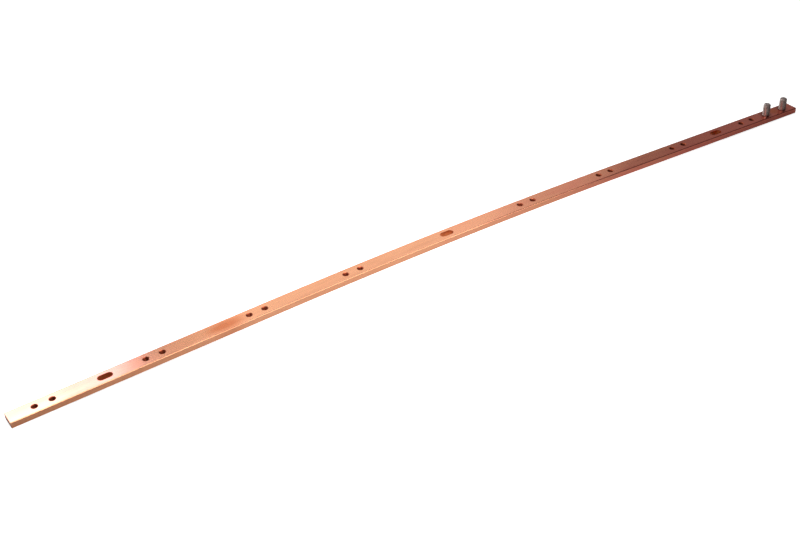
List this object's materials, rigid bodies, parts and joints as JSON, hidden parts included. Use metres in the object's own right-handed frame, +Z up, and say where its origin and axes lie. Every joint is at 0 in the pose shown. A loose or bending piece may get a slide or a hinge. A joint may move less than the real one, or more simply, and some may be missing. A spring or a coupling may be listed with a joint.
{
  "type": "rack grounding busbar",
  "caption": "Flat copper bar with tapped holes in pairs for two-hole ground lugs, rail slots and a pair of threaded studs at one end, lying with a shallow bow.",
  "frame": {"origin": "midway between the bar's two ends and on its centreline, on the plane that its ends rest on", "axes": "+X along the bar towards the stud end, +Y across it, +Z up out of the face that the studs stand on"},
  "size_m": [0.9144, 0.0158, 0.0203],
  "materials": {
    "copper": "satin drawn copper, lightly tarnished",
    "steel": "plain rolled thread"
  },
  "bodies": {
    "root": {"busbar": "copper", "ground_stud_inner": "steel", "ground_stud_outer": "steel"}
  },
  "joints": []
}
